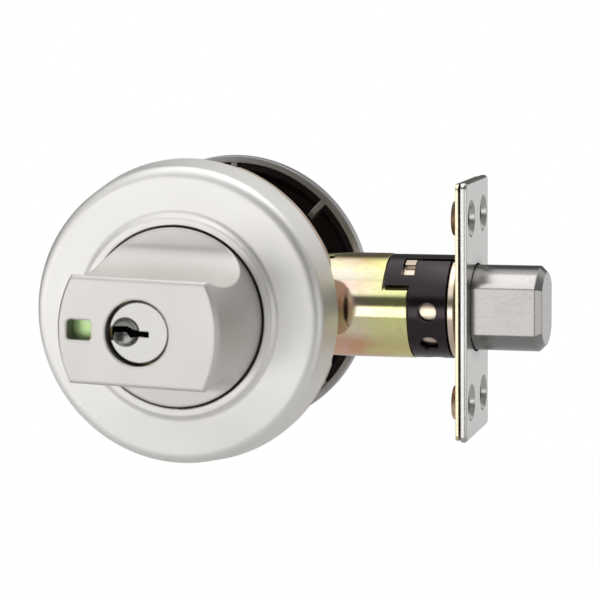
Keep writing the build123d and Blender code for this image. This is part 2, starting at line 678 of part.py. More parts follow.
def key_cylinder(prefix, face, groove_depth=None):
    """Barrel, plug, pins, springs, cover and clip of one key cylinder.

    face lies on the plug's face, its normal points out and its X points to the pins.
    A barrel with a groove depth gets two flats there for a retaining plate.
    """
    chambers = Plane(origin=face.origin, x_dir=face.z_dir, z_dir=face.x_dir)
    places = [(-FIRST_PIN - PIN_PITCH * i, 0) for i in range(PIN_COUNT)]
    spring_start = PLUG_R + SHEAR_GAP + DRIVER_LENGTH + FIT
    spring_end = TOWER_H - COVER_T

    with BuildPart() as housing:
        with BuildSketch(face.offset(-BARREL_START)):
            Circle(BARREL_R)
        extrude(amount=BARREL_START - BARREL_END)
        with BuildSketch(face.offset(-TOWER_START)):
            Rectangle(TOWER_H, TOWER_W, align=(Align.MIN, Align.CENTER))
        extrude(amount=TOWER_START - BARREL_END)
        with BuildSketch(face.offset(-TOWER_START)):
            with Locations((TOWER_H - COVER_T, 0)):
                Rectangle(2 * COVER_T, COVER_W + 2 * FIT, align=(Align.MIN, Align.CENTER))
        extrude(amount=TOWER_START - BARREL_END, mode=Mode.SUBTRACT)
        with BuildSketch(face):
            Circle(PLUG_R + FIT)
        extrude(amount=-BARREL_END - 1, mode=Mode.SUBTRACT)
        extrude(discs(chambers, places, CHAMBER_R), amount=2 * TOWER_H, mode=Mode.SUBTRACT)
        if groove_depth:
            with BuildSketch(face.offset(FIT - groove_depth)):
                with Locations((0, RETAINER_FLAT), (0, -RETAINER_FLAT - BARREL_R)):
                    Rectangle(4 * BARREL_R, BARREL_R, align=(Align.CENTER, Align.MIN))
            extrude(amount=-RETAINER_T - 2 * FIT, mode=Mode.SUBTRACT)
    save(housing, f"{prefix}_cylinder_housing")

    with BuildPart() as plug:
        with BuildSketch(face):
            Circle(PLUG_R)
        extrude(amount=-PLUG_LENGTH)
        chamfer(plug.faces().sort_by(Axis(face.origin, face.z_dir))[-1].edges(), PLUG_BEVEL)
        extrude(outline(KEYWAY, face), amount=-BARREL_END, mode=Mode.SUBTRACT)
        with Locations(face):
            with Locations((KEY_DIMPLE_X, 0, KEY_DIMPLE_LIFT)):
                Sphere(KEY_DIMPLE_R, mode=Mode.SUBTRACT)
        extrude(discs(chambers, places, CHAMBER_R), amount=2 * PLUG_R, mode=Mode.SUBTRACT)
        with BuildSketch(face.offset(-BARREL_END - FIT)):
            Circle(2 * PLUG_R)
            Circle(CLIP_GROOVE_R, mode=Mode.SUBTRACT)
        extrude(amount=-CLIP_T - 2 * FIT, mode=Mode.SUBTRACT)
        screw_holes = discs(face.offset(-PLUG_LENGTH), CAM_SCREWS, CAM_SCREW_R + PRESS)
        extrude(screw_holes, amount=CAM_SCREW_LENGTH, mode=Mode.SUBTRACT)
    save(plug, f"{prefix}_key_plug")

    with BuildPart() as key_pins:
        for place, tip in zip(places, KEY_CUTS):
            extrude(discs(chambers.offset(tip), [place], PIN_R), amount=PLUG_R - PIN_SINK - tip)
    save(key_pins, f"{prefix}_key_pins")

    with BuildPart() as driver_pins:
        extrude(discs(chambers.offset(PLUG_R + SHEAR_GAP), places, PIN_R), amount=DRIVER_LENGTH)
    save(driver_pins, f"{prefix}_driver_pins")

    with BuildPart() as pin_springs:
        with BuildSketch(chambers.offset(spring_start)):
            with Locations(*places):
                Circle(SPRING_R)
                Circle(SPRING_BORE_R, mode=Mode.SUBTRACT)
        extrude(amount=spring_end - spring_start)
    save(pin_springs, f"{prefix}_pin_springs")

    with BuildPart() as spring_cover:
        with BuildSketch(face.offset(-TOWER_START)):
            with Locations((TOWER_H - COVER_T, 0)):
                Rectangle(COVER_T, COVER_W, align=(Align.MIN, Align.CENTER))
        extrude(amount=TOWER_START - BARREL_END)
    save(spring_cover, f"{prefix}_spring_cover")

    with BuildPart() as plug_clip:
        with BuildSketch(face.offset(-BARREL_END - 2 * FIT)):
            Circle(CLIP_R)
            Circle(CLIP_BORE_R, mode=Mode.SUBTRACT)
            Rectangle(2 * CLIP_R, PLUG_R, align=(Align.MIN, Align.CENTER), mode=Mode.SUBTRACT)
        extrude(amount=-CLIP_T)
    save(plug_clip, f"{prefix}_plug_clip")


def plug_cam(name, rear, arm, arm_length):
    """Disc on the rear of a plug with an arm of the given section, and its two flush screws.

    rear lies on the disc's rear face, its normal points to the plug.
    """
    with BuildPart() as cam:
        with BuildSketch(rear):
            Circle(CAM_R)
        extrude(amount=CAM_T)
        extrude(arm, amount=-arm_length)
        with Locations(*[rear.location * Location((x, y, 0), (180, 0, 0)) for x, y in CAM_SCREWS]):
            CounterSinkHole(CAM_SCREW_R + PRESS, CAM_SCREW_SINK_R, depth=2 * CAM_T, counter_sink_angle=90)
    save(cam, name)

    head_t = CAM_SCREW_HEAD_R - CAM_SCREW_R
    with BuildPart() as screws:
        extrude(discs(rear.offset(FIT), CAM_SCREWS, CAM_SCREW_R), amount=CAM_SCREW_LENGTH)
        with Locations(*[rear.location * Location((x, y, FIT)) for x, y in CAM_SCREWS]):
            Cone(CAM_SCREW_HEAD_R, CAM_SCREW_R, head_t, align=(Align.CENTER, Align.CENTER, Align.MIN))
    save(screws, f"{name}_screws")


knob_cam_rear = knob_plane(PLUG_FACE + CAM_DEPTH)
outer_face = Plane(origin=(0, OUTER_PLUG_FACE, 0), x_dir=(0, 0, 1), z_dir=(0, 1, 0))
outer_cam_rear = outer_face.offset(-CAM_DEPTH)
key_cylinder("knob", knob_plane(PLUG_FACE))
key_cylinder("outer", outer_face, RETAINER_DEPTH)

# Cam behind the knob's plug, with the crank pin that moves the indicator
crank_pin = discs(knob_cam_rear, [(-CRANK, -CRANK)], CAM_PIN_R)[0]
plug_cam("lock_cam", knob_cam_rear, crank_pin, CAM_PIN_LENGTH)

# Half blade behind the outer plug, free to swing a quarter turn before it meets the hub's lug
with BuildSketch(outer_cam_rear) as half_blade:
    with Locations((HALF_BLADE_X, 0)):
        Rectangle(*HALF_BLADE)
plug_cam("outer_tail", outer_cam_rear, half_blade.sketch.face(), HALF_BLADE_LENGTH)

# Turn knob: a round base that narrows to an oval grip with a scoop above and below
with BuildPart() as turn_knob:
    with BuildSketch(knob_plane(KNOB_BACK)):
        Circle(KNOB_BASE_R)
    extrude(amount=KNOB_BACK - KNOB_BASE_FRONT)
    with BuildSketch(knob_plane(KNOB_BASE_FRONT)):
        Circle(KNOB_BASE_R)
    with BuildSketch(knob_plane(KNOB_SHOULDER)):
        Ellipse(*KNOB_END_AXES)
    loft(ruled=True)
    with BuildSketch(knob_plane(KNOB_SHOULDER)):
        Ellipse(*KNOB_END_AXES)
    with BuildSketch(knob_plane(KNOB_FACE)):
        Ellipse(*KNOB_FACE_AXES)
    loft(ruled=True)
    for side in (-1, 1):
        deepest = (SCOOP_DEEPEST[0], side * SCOOP_DEEPEST[1])
        front = (SCOOP_FRONT[0], side * SCOOP_FRONT[1])
        root = (KNOB_BASE_FRONT, side * SCOOP_ROOT_Z)
        run = KNOB_BASE_FRONT - SCOOP_DEEPEST[0]
        rise = SCOOP_ROOT_Z - SCOOP_DEEPEST[1]
        with BuildSketch(Plane(origin=(0, 0, 0), x_dir=(0, 1, 0), z_dir=KNOB_RIGHT)):
            with BuildLine():
                TangentArc(deepest, front, tangent=(-1, 0))
                hollow = (deepest[0], root[1])
                EllipticalCenterArc(hollow, run, rise, start_angle=-45 - 45 * side, arc_size=90)
                Polyline(front, (front[0], side * SCOOP_REACH), (root[0], side * SCOOP_REACH), root)
            make_face()
        extrude(amount=SCOOP_REACH, both=True, mode=Mode.SUBTRACT)
    chords = turn_knob.edges().filter_by(Axis((0, 0, 0), KNOB_RIGHT)).group_by(Axis.Y)[0]
    fillet(chords, KNOB_FILLET)
    for front_y, back_y, radius in [
        (KNOB_FACE, PLUG_FACE + BARREL_START, PLUG_HOLE_R),
        (PLUG_FACE + BARREL_START, KNOB_RECESS_FRONT, BARREL_R + FIT),
        (KNOB_RECESS_FRONT, KNOB_BACK, KNOB_RECESS_R),
    ]:
        with BuildSketch(knob_plane(back_y)):
            Circle(radius)
        extrude(amount=back_y - front_y, mode=Mode.SUBTRACT)
    with BuildSketch(knob_plane(KNOB_RECESS_FRONT)):
        Rectangle(TOWER_H + TOWER_GAP, TOWER_W + TOWER_GAP, align=(Align.MIN, Align.CENTER))
    extrude(amount=KNOB_RECESS_FRONT - PLUG_FACE - TOWER_START + FIT, mode=Mode.SUBTRACT)
    with BuildSketch(knob_plane(KNOB_RECESS_FRONT)):
        with Locations((POCKET_X, 0)):
            Rectangle(*POCKET_SIZE)
    extrude(amount=KNOB_RECESS_FRONT - POCKET_FRONT, mode=Mode.SUBTRACT)
    with BuildSketch(knob_plane(POCKET_FRONT)):
        with Locations((INDICATOR_X, 0)):
            RectangleRounded(INDICATOR_W, INDICATOR_H, INDICATOR_CORNER)
    extrude(amount=POCKET_FRONT - KNOB_FACE, mode=Mode.SUBTRACT)
    screw_holes = discs(knob_plane(KNOB_BACK), hub_screw_places, HUB_SCREW_R + PRESS)
    extrude(screw_holes, amount=HUB_SCREW_LENGTH - 1.6, mode=Mode.SUBTRACT)
save(turn_knob, "turn_knob")

# Knob hub: the plate behind the knob and the neck that turns in the bush
with BuildPart() as knob_hub:
    stem = [
        (0, KNOB_BACK),
        (HUB_DISC_R, KNOB_BACK),
        (HUB_DISC_R, HUB_DISC_BACK),
        (BOSS_R, HUB_DISC_BACK),
        (BOSS_R, BOSS_BACK),
        (NECK_R, BOSS_BACK),
        (NECK_R, GROOVE_FRONT),
        (GROOVE_R, GROOVE_FRONT),
        (GROOVE_R, GROOVE_BACK),
        (NECK_R, GROOVE_BACK),
        (NECK_R, NECK_BACK),
        (0, NECK_BACK),
    ]
    revolve(outline(stem), axis=Axis.Y)
    with BuildSketch(room_plane(NECK_BACK)):
        Rectangle(BLADE_W + BLADE_GAP, BLADE_H + BLADE_GAP)
    extrude(amount=NECK_BACK - BLADE_ROOM_END + BLADE_GAP, mode=Mode.SUBTRACT)
    pin_hole = discs(Plane.YZ, [(TAIL_PIN_Y, 0)], TAIL_PIN_R + PRESS)
    extrude(pin_hole, amount=2 * NECK_R, both=True, mode=Mode.SUBTRACT)
    disc_rear = knob_plane(HUB_DISC_BACK).location
    with Locations(*[disc_rear * Location((x, y, 0), (180, 0, 0)) for x, y in hub_screw_places]):
        CounterSinkHole(HUB_SCREW_R + FIT, 2 * HUB_SCREW_R, depth=4, counter_sink_angle=90)
save(knob_hub, "knob_hub")

# Countersunk screws from the hub's plate into the knob
with BuildPart() as knob_hub_screws:
    heads = knob_plane(HUB_DISC_BACK - FIT)
    head_t = HUB_SCREW_R - 0.1
    extrude(discs(heads, hub_screw_places, HUB_SCREW_R), amount=HUB_SCREW_LENGTH)
    with Locations(*[heads.location * Location((x, y, 0)) for x, y in hub_screw_places]):
        Cone(HUB_SCREW_R + head_t, HUB_SCREW_R, head_t, align=(Align.CENTER, Align.CENTER, Align.MIN))
save(knob_hub_screws, "knob_hub_screws")

# Washer between the hub's boss and the bush
with BuildPart() as wave_washer:
    with BuildSketch(room_plane(BOSS_BACK + WASHER_T + FIT)):
        Circle(BOSS_R)
        Circle(WASHER_BORE_R, mode=Mode.SUBTRACT)
    extrude(amount=WASHER_T)
save(wave_washer, "wave_washer")

# Open ring in the neck's groove, behind the bush
with BuildPart() as knob_circlip:
    with BuildSketch(room_plane(GROOVE_BACK - FIT)):
        Circle(RING_OUTER_R)
        Circle(GROOVE_R + FIT, mode=Mode.SUBTRACT)
        Rectangle(RING_OPENING, 2 * RING_OUTER_R, align=(Align.CENTER, Align.MAX), mode=Mode.SUBTRACT)
    extrude(amount=RING_T)
save(knob_circlip, "knob_circlip")

# Flat blade from the knob's neck to the bolt hub
with BuildPart() as knob_tail:
    with BuildSketch(room_plane(BLADE_END)):
        Rectangle(BLADE_W, BLADE_H)
    extrude(amount=BLADE_END - BLADE_ROOM_END)
    pin_hole = discs(Plane.YZ, [(TAIL_PIN_Y, 0)], TAIL_PIN_R + PRESS)
    extrude(pin_hole, amount=2 * BLADE_W, both=True, mode=Mode.SUBTRACT)
save(knob_tail, "knob_tail")

# Cross pin that holds the blade in the neck
with BuildPart() as tail_pin:
    extrude(discs(Plane.YZ, [(TAIL_PIN_Y, 0)], TAIL_PIN_R), amount=TAIL_PIN_HALF, both=True)
save(tail_pin, "tail_pin")

# Indicator slide: a flag behind the window, a leg along the barrel and a forked foot at the crank pin
with BuildPart() as indicator_slide:
    with BuildSketch(knob_plane(FLAG_BODY_BACK)):
        with Locations((FLAG_LEFT, -CRANK)):
            Rectangle(FLAG_W, 2 * FLAG_H, align=(Align.MIN, Align.CENTER))
    extrude(amount=FLAG_BODY_BACK - FLAG_BODY_FRONT)
    with BuildSketch(knob_plane(FOOT_BACK)):
        with Locations((FLAG_LEFT + FLAG_W, -CRANK)):
            Rectangle(*LEG_SIZE, align=(Align.MAX, Align.CENTER))
    extrude(amount=FOOT_BACK - FLAG_BODY_BACK)
    with BuildSketch(knob_plane(FOOT_BACK)):
        with Locations((FOOT_LEFT, -CRANK)):
            Rectangle(*FOOT_SIZE, align=(Align.MIN, Align.CENTER))
        with Locations((FOOT_SLOT_LEFT, -CRANK)):
            Rectangle(*FOOT_SLOT_SIZE, align=(Align.MIN, Align.CENTER), mode=Mode.SUBTRACT)
    extrude(amount=FOOT_T)
save(indicator_slide, "indicator_slide")

# Green and red fields on the slide's flag
for flag_name, flag_z in [("green_flag", 0), ("red_flag", -FLAG_H)]:
    with BuildPart() as flag:
        with BuildSketch(knob_plane(FLAG_BODY_FRONT)):
            with Locations((FLAG_LEFT, flag_z)):
                Rectangle(FLAG_W, FLAG_H, align=(Align.MIN, Align.CENTER))
        extrude(amount=FLAG_T)
    save(flag, flag_name)

# Inside rose: a dished cover with a raised ring round the knob
with BuildPart() as inner_rose:
    cover = [
        (ROSE_R, ROSE_BACK),
        (ROSE_FACE_R, ROSE_FACE),
        (BOSS_RING_FOOT_R, ROSE_FACE),
        (BOSS_RING_R, BOSS_RING_TOP),
        (KNOB_HOLE_R, BOSS_RING_TOP),
        (KNOB_HOLE_R, ROSE_INSIDE),
        (ROSE_FACE_R - ROSE_WALL, ROSE_INSIDE),
        (ROSE_R - ROSE_WALL, ROSE_BACK),
    ]
    revolve(outline(cover), axis=Axis.Y)
    for corner, radius in [
        ((ROSE_FACE_R, ROSE_FACE, 0), ROSE_EDGE_FILLET),
        ((BOSS_RING_FOOT_R, ROSE_FACE, 0), BOSS_RING_FOOT_FILLET),
        ((BOSS_RING_R, BOSS_RING_TOP, 0), BOSS_RING_FILLET),
        ((KNOB_HOLE_R, BOSS_RING_TOP, 0), KNOB_HOLE_FILLET),
    ]:
        rounds = inner_rose.edges().filter_by(GeomType.CIRCLE)
        fillet(rounds.sort_by_distance(corner)[0], radius)
save(inner_rose, "inner_rose")

# Mounting plate under the inside rose: round with four flats, and a rim that the rose fits over
with BuildPart() as inner_mounting_plate:
    with BuildSketch(room_plane(DOOR_IN)):
        Circle(PLATE_R)
        Rectangle(2 * PLATE_FLAT, 2 * PLATE_FLAT, mode=Mode.INTERSECT)
        Circle(PLATE_BORE_R, mode=Mode.SUBTRACT)
        with Locations(*FIXING_PLACES):
            Circle(FIXING_HOLE_R, mode=Mode.SUBTRACT)
    extrude(amount=DOOR_IN - PLATE_FRONT)
    with BuildSketch(room_plane(PLATE_FRONT)):
        Circle(PLATE_RIM[1])
        Circle(PLATE_RIM[0], mode=Mode.SUBTRACT)
    extrude(amount=PLATE_RIM_H)
save(inner_mounting_plate, "inner_mounting_plate")

# Flanged bush that the knob's neck turns in
with BuildPart() as knob_bush:
    flanged = [
        (NECK_R + RUNNING, DOOR_IN + 2 * FIT),
        (BUSH_R, DOOR_IN + 2 * FIT),
        (BUSH_R, PLATE_FRONT - PRESS),
        (BUSH_FLANGE_R, PLATE_FRONT - PRESS),
        (BUSH_FLANGE_R, BUSH_FRONT),
        (NECK_R + RUNNING, BUSH_FRONT),
    ]
    revolve(outline(flanged), axis=Axis.Y)
save(knob_bush, "knob_bush")

# Two bolts through the door, from the mounting plate into the outer rose
with BuildPart() as through_bolts:
    extrude(discs(room_plane(FIXING_END), FIXING_PLACES, FIXING_R), amount=FIXING_END - PLATE_FRONT)
    extrude(discs(room_plane(PLATE_FRONT), FIXING_PLACES, FIXING_HEAD_R), amount=FIXING_HEAD_T)
    with BuildSketch(room_plane(PLATE_FRONT - FIXING_HEAD_T)):
        with Locations(*FIXING_PLACES):
            RegularPolygon(HEX_R, 6)
    extrude(amount=-HEX_DEPTH, mode=Mode.SUBTRACT)
save(through_bolts, "through_bolts")

# Outer rose: a ribbed shell with a nose round the key cylinder and posts for bolts and screws
with BuildPart() as outer_rose:
    barrel_mouth = OUTER_PLUG_FACE - BARREL_START
    socket_floor = RETAINER_BACK + 2 * FIT
    shell = [
        (OUTER_RIM_BORE_R, DOOR_OUT),
        (OUTER_RIM_R, DOOR_OUT),
        (OUTER_RIM_R, OUTER_WALL_END),
        (OUTER_FACE_R, OUTER_FACE),
        (OUTER_NOSE_FOOT_R, OUTER_FACE),
        (OUTER_NOSE_R, OUTER_NOSE),
        (PLUG_HOLE_R, OUTER_NOSE),
        (PLUG_HOLE_R, barrel_mouth),
        (BARREL_R + FIT, barrel_mouth),
        (BARREL_R + FIT, socket_floor),
        (OUTER_SOCKET_R, socket_floor),
        (OUTER_SOCKET_R, OUTER_FLOOR),
        (OUTER_FLOOR_R, OUTER_FLOOR),
        (OUTER_WALL_BORE_R, OUTER_WALL_END),
    ]
    revolve(outline(shell), axis=Axis.Y)
    for corner, radius in [
        ((OUTER_FACE_R, OUTER_FACE, 0), OUTER_FACE_FILLET),
        ((OUTER_NOSE_R, OUTER_NOSE, 0), OUTER_NOSE_FILLET),
    ]:
        rounds = outer_rose.edges().filter_by(GeomType.CIRCLE)
        fillet(rounds.sort_by_distance(corner)[0], radius)
    rib_side = [
        (OUTER_RIM_BORE_R + 0.4, RIB_FRONT),
        (RIB_INNER_R + RIB_BEVEL, RIB_FRONT),
        (RIB_INNER_R, RIB_FRONT + RIB_BEVEL),
        (RIB_INNER_R, OUTER_FLOOR + 0.2),
        (OUTER_FLOOR_R + 0.4, OUTER_FLOOR + 0.2),
    ]
    for rib in range(RIB_COUNT):
        extrude(outline(rib_side, radial_plane(360 * rib / RIB_COUNT)), amount=RIB_T / 2, both=True)
    post_root = OUTER_FLOOR + 0.2
    extrude(discs(room_plane(post_root), FIXING_PLACES, POST_R), amount=post_root - POST_FRONT)
    screw_posts = discs(room_plane(post_root), RETAINER_SCREW_PLACES, RETAINER_POST_R)
    extrude(screw_posts, amount=post_root - socket_floor)
    bolt_threads = discs(room_plane(FIXING_END + 4), FIXING_PLACES, FIXING_R + FIT)
    extrude(bolt_threads, amount=FIXING_END, mode=Mode.SUBTRACT)
    screw_threads = discs(room_plane(RETAINER_SCREW_END + 0.2), RETAINER_SCREW_PLACES, RETAINER_SCREW_R + FIT)
    extrude(screw_threads, amount=FIXING_END, mode=Mode.SUBTRACT)
    with BuildSketch(room_plane(OUTER_PLUG_FACE - TOWER_START + FIT)):
        Rectangle(TOWER_W + TOWER_GAP, TOWER_H + TOWER_GAP, align=(Align.CENTER, Align.MIN))
    extrude(amount=TOWER_H, mode=Mode.SUBTRACT)
save(outer_rose, "outer_rose")

# Black liner in the outer rose, cut for the ribs and the posts
with BuildPart() as rose_liner:
    liner_back = OUTER_FLOOR - LINER_GAP / 2
    rim_r = OUTER_WALL_BORE_R - LINER_GAP
    floor_r = OUTER_FLOOR_R - LINER_GAP
    lining = [
        (rim_r + LINER_GAP, LINER_FRONT),
        (rim_r, OUTER_WALL_END),
        (floor_r, liner_back),
        (LINER_BORE_R, liner_back),
        (LINER_BORE_R, liner_back - LINER_T),
        (floor_r - LINER_T, liner_back - LINER_T),
        (rim_r - LINER_T, OUTER_WALL_END),
        (rim_r - LINER_T + LINER_GAP, LINER_FRONT),
    ]
    revolve(outline(lining), axis=Axis.Y)
    slot_side = [
        (RIB_INNER_R - LINER_GAP, 0),
        (2 * OUTER_RIM_R, 0),
        (2 * OUTER_RIM_R, 2 * OUTER_FLOOR),
        (RIB_INNER_R - LINER_GAP, 2 * OUTER_FLOOR),
    ]
    for rib in range(RIB_COUNT):
        slot = outline(slot_side, radial_plane(360 * rib / RIB_COUNT))
        extrude(slot, amount=RIB_T / 2 + LINER_GAP, both=True, mode=Mode.SUBTRACT)
    post_holes = discs(room_plane(2 * OUTER_FLOOR), FIXING_PLACES, POST_R + JOINT_GAP)
    extrude(post_holes, amount=2 * OUTER_FLOOR, mode=Mode.SUBTRACT)
save(rose_liner, "rose_liner")

# Plate that holds the outer cylinder in its rose
with BuildPart() as cylinder_retainer:
    with BuildSketch(room_plane(RETAINER_BACK)):
        with Locations((0, RETAINER_DROP)):
            Rectangle(*RETAINER_SIZE)
        slot_w = 2 * (RETAINER_FLAT + FIT)
        with Locations((0, RETAINER_SLOT_FLOOR)):
            Rectangle(slot_w, RETAINER_SIZE[0], align=(Align.CENTER, Align.MIN), mode=Mode.SUBTRACT)
        with Locations(*RETAINER_SCREW_PLACES):
            Circle(RETAINER_HOLE_R, mode=Mode.SUBTRACT)
    extrude(amount=RETAINER_T)
save(cylinder_retainer, "cylinder_retainer")

# Screws that hold that plate
with BuildPart() as retainer_screws:
    shanks = discs(room_plane(RETAINER_SCREW_END), RETAINER_SCREW_PLACES, RETAINER_SCREW_R)
    extrude(shanks, amount=RETAINER_SCREW_END - RETAINER_Y)
    extrude(discs(room_plane(RETAINER_Y), RETAINER_SCREW_PLACES, RETAINER_HEAD_R), amount=RETAINER_HEAD_T)
save(retainer_screws, "retainer_screws")
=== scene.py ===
import math

import bpy
from bpy.props import FloatProperty, FloatVectorProperty, PointerProperty
from bpy.types import Operator, Panel, PropertyGroup
from mathutils import Matrix, Vector

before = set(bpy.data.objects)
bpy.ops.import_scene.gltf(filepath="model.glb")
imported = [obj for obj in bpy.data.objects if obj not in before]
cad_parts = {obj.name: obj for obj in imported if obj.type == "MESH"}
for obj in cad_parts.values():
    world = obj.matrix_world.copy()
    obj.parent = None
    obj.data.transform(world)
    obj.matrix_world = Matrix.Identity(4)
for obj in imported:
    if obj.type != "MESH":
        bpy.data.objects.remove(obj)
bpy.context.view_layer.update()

bl_info = {
    "name": "Deadbolt door lock",
    "version": (1, 0, 0),
    "blender": (4, 5, 0),
    "location": "View3D > Sidebar > Deadbolt",
    "description": "Finishes a deadbolt door lock and sets up its studio",
    "category": "Object",
}

# Tints of the zinc's film, from the tube's lower side up to its top; their lightness is
# partly painted light: painted highlight bands, and painted shade at the top edge and underside.
FILM_AND_LIGHT_BANDS = (
    (0.0, (0.74, 0.38, 0.24)),
    (0.15, (0.90, 0.44, 0.29)),
    (0.30, (0.97, 0.83, 0.68)),
    (0.45, (0.80, 0.70, 0.52)),
    (0.60, (0.84, 0.70, 0.58)),
    (0.75, (0.94, 0.84, 0.78)),
    (0.88, (0.92, 0.82, 0.74)),
    (0.95, (0.60, 0.43, 0.20)),
    (1.0, (0.36, 0.22, 0.08)),
)
FILM_RISE = 43.6  # one over the tube's diameter, in 1/m
FILM_PINK = (0.96, 0.60, 0.56)
FILM_MOSS = (0.76, 0.86, 0.44)
FILM_CREAM = (0.90, 0.80, 0.52)
FILM_STRAW = (0.86, 0.90, 0.36)
# Pale cream on zinc edges: partly wear, partly a painted highlight.
ZINC_EDGE_WEAR_AND_HIGHLIGHT = (0.86, 0.80, 0.62)
RUBBED_BLACK = (0.30, 0.29, 0.28)
# Along the bolt, in metres: where the film changes towards the sleeve, and at the back plate.
SLEEVE_REAR = (0.040, 0.049)
PLATE_REAR = (0.0572, 0.0576)


class Wire:
    """A shader socket that takes part in Python arithmetic."""

    def __init__(self, finish, socket):
        self.finish = finish
        self.socket = socket

    def math(self, operation, *values):
        settings = {"operation": operation}
        return self.finish.node("ShaderNodeMath", settings, dict(enumerate(values)))

    def __add__(self, other):
        return self.math("ADD", self, other)

    def __radd__(self, other):
        return self.math("ADD", other, self)

    def __sub__(self, other):
        return self.math("SUBTRACT", self, other)

    def __rsub__(self, other):
        return self.math("SUBTRACT", other, self)

    def __mul__(self, other):
        return self.math("MULTIPLY", self, other)

    def __rmul__(self, other):
        return self.math("MULTIPLY", other, self)

    def __pow__(self, other):
        return self.math("POWER", self, other)

    def between(self, low, high):
        """0 below low, 1 above high, smooth in between."""
        settings = {"interpolation_type": "SMOOTHSTEP"}
        return self.finish.node("ShaderNodeMapRange", settings, {"Value": self, 1: low, 2: high})


class Finish:
    """One procedural node tree, built from expressions."""

    def __init__(self, tree):
        self.tree = tree
        tree.nodes.clear()

    def node(self, kind, settings=None, sockets=None, out=0):
        """Add a node with its settings and its sockets' values or links."""
        made = self.tree.nodes.new(kind)
        for key, value in (settings or {}).items():
            if key == "stops":
                ramp = made.color_ramp
                while len(ramp.elements) < len(value):
                    ramp.elements.new(0.5)
                for stop, (place, colour) in zip(ramp.elements, value):
                    stop.position = place
                    stop.color = (*colour, 1)
            else:
                setattr(made, key, value)
        for key, value in (sockets or {}).items():
            if isinstance(value, Wire):
                self.tree.links.new(value.socket, made.inputs[key])
            else:
                made.inputs[key].default_value = value
        return Wire(self, made.outputs[out]) if made.outputs else None

    def place(self):
        """The point on the piece, in metres, in the lock's own frame."""
        return self.node("ShaderNodeTexCoord", out="Object")

    def axes(self, vector):
        parts = self.node("ShaderNodeSeparateXYZ", sockets={0: vector})
        outputs = parts.socket.node.outputs
        return [Wire(self, outputs[i]) for i in range(3)]

    def vector(self, x, y, z):
        return self.node("ShaderNodeCombineXYZ", sockets={0: x, 1: y, 2: z})

    def noise(self, vector, scale, detail=3.0, roughness=0.5):
        return self.node(
            "ShaderNodeTexNoise",
            sockets={"Vector": vector, "Scale": scale, "Detail": detail, "Roughness": roughness},
        )

    def blend(self, factor, first, second):
        settings = {"data_type": "RGBA"}
        first = first if isinstance(first, Wire) else (*first, 1)
        second = second if isinstance(second, Wire) else (*second, 1)
        return self.node("ShaderNodeMix", settings, {0: factor, 6: first, 7: second}, out=2)

    def bump(self, height, distance, strength, normal):
        sockets = {"Height": height, "Distance": distance, "Strength": strength, "Normal": normal}
        return self.node("ShaderNodeBump", sockets=sockets)

    def rounded(self, radius):
        """The surface's normal, softened across sharp edges."""
        return self.node("ShaderNodeBevel", {"samples": 6}, {"Radius": radius})

    def edges(self, round_normal):
        """1 along softened edges, 0 on open faces."""
        flat_normal = self.node("ShaderNodeNewGeometry", out="Normal")
        settings = {"operation": "DOT_PRODUCT"}
        sockets = {0: round_normal, 1: flat_normal}
        turn = self.node("ShaderNodeVectorMath", settings, sockets, "Value")
        return (1 - turn).between(0.02, 0.2)

    def crevices(self, distance):
        """1 deep in corners, 0 in the open: the mask for painted shade."""
        settings = {"samples": 6}
        open_air = self.node("ShaderNodeAmbientOcclusion", settings, {"Distance": distance}, "AO")
        return (1 - open_air).between(0.15, 0.75)

    def surface(self, sockets):
        shader = self.node("ShaderNodeBsdfPrincipled", sockets=sockets)
        self.node("ShaderNodeOutputMaterial", sockets={"Surface": shader})


def new_finish(name):
    material = bpy.data.materials.new(name)
    material.use_nodes = True
    return material, Finish(material.node_tree)


def dress(material, *nodes):
    """Give CAD nodes a finish in their own material slots."""
    for name in nodes:
        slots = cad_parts[name].data.materials
        slots.clear()
        slots.append(material)


def shade(colour, amount):
    return tuple(min(1.0, c * amount) for c in colour)


def grain_line(f, place, lay):
    """Coordinate stretched along the marks that a tool leaves, in marks per metre."""
    x, y, z = f.axes(place)
    if lay == "rings":
        radius = (x * x + z * z) ** 0.5
        turn = x.math("ARCTAN2", z, x)
        return f.vector(radius * 2600, turn * 2.2, y * 1500)
    if lay == "upright":
        return f.vector(x * 2400, y * 2400, z * 900)
    if lay == "along bolt":
        return f.vector(x * 800, y * 2400, z * 2400)
    return f.vector(x * 2600, y * 2600, z * 2600)


def satin_metal(
    name, colour, roughness, lay, depth=0.5, contrast=0.10, edge=0.0004, reach=0.0012, corner_shade_strength=0.6
):
    """Plated metal with a fine directional grain, painted highlight and wear on edges, and painted
    shade in corners.

    depth is the grain's relief and contrast its change of tone, edge the radius of a softened edge,
    reach how far the painted shade spreads from a corner, and corner_shade_strength how dark it
    gets.
    """
    material, f = new_finish(name)
    place = f.place()
    grain = f.noise(grain_line(f, place, lay), 1.0, 4.0, 0.65)
    cloud = f.noise(place, 70.0, 4.0, 0.6)
    speck = f.noise(place, 5200.0, 1.0)
    soft = f.rounded(edge)
    edge_band = f.edges(soft)
    corner_shade = f.crevices(reach)
    mottle = grain * 0.6 + cloud * 0.4
    tone = f.blend(mottle, shade(colour, 1 - contrast), shade(colour, 1 + contrast))
    # Edges painted lighter: partly wear, partly a painted highlight along the rounded edges.
    tone = f.blend(edge_band * 0.45, tone, shade(colour, 1.25))
    # Painted shade: corners darkened nearly to black.
    tone = f.blend(corner_shade * corner_shade_strength, tone, shade(colour, 0.12))
    f.surface({
        "Base Color": tone,
        "Metallic": 1.0,
        "Roughness": roughness + (grain - 0.5) * 0.16 + (cloud - 0.5) * 0.10 - edge_band * 0.06,
        "Normal": f.bump(grain * 0.7 + speck * 0.3, 0.000012, depth, soft),
    })
    return material


